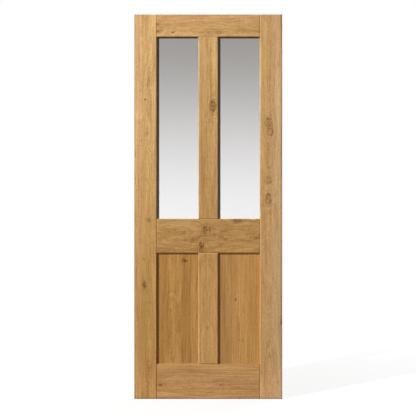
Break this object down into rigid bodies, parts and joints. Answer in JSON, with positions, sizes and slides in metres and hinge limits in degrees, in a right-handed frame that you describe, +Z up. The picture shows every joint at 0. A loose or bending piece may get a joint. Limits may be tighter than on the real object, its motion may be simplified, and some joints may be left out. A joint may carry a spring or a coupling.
{
  "type": "glazed interior door",
  "caption": "Framed timber door leaf with two tall clear glass lights over two flat recessed panels, square-edged with eased arrises; no frame or fittings.",
  "frame": {"origin": "foot of the hinge edge (the left edge seen from the front), halfway through the leaf's thickness", "axes": "+X runs across the leaf from the hinge edge to the lock edge, +Y from the front face to the back face where the glazing beads are, +Z up"},
  "size_m": [0.762, 0.035, 1.981],
  "materials": {
    "oak_frame": "clear satin lacquer",
    "oak_panel": "clear satin lacquer",
    "oak_bead": "clear satin lacquer",
    "oak_lipping": "clear satin lacquer",
    "clear_glass": "polished",
    "glazing_tape": "matt"
  },
  "bodies": {
    "root": {"bottom_rail": "oak_frame", "left_bead_bottom": "oak_bead", "left_bead_left": "oak_bead", "left_bead_right": "oak_bead", "left_bead_top": "oak_bead", "left_edge_lipping": "oak_lipping", "left_glass": "clear_glass", "left_panel": "oak_panel", "left_stile": "oak_frame", "left_tape_bottom": "glazing_tape", "left_tape_left": "glazing_tape", "left_tape_right": "glazing_tape", "left_tape_top": "glazing_tape", "lock_rail": "oak_frame", "lower_mullion": "oak_frame", "right_bead_bottom": "oak_bead", "right_bead_left": "oak_bead", "right_bead_right": "oak_bead", "right_bead_top": "oak_bead", "right_edge_lipping": "oak_lipping", "right_glass": "clear_glass", "right_panel": "oak_panel", "right_stile": "oak_frame", "right_tape_bottom": "glazing_tape", "right_tape_left": "glazing_tape", "right_tape_right": "glazing_tape", "right_tape_top": "glazing_tape", "top_rail": "oak_frame", "upper_mullion": "oak_frame"}
  },
  "joints": []
}
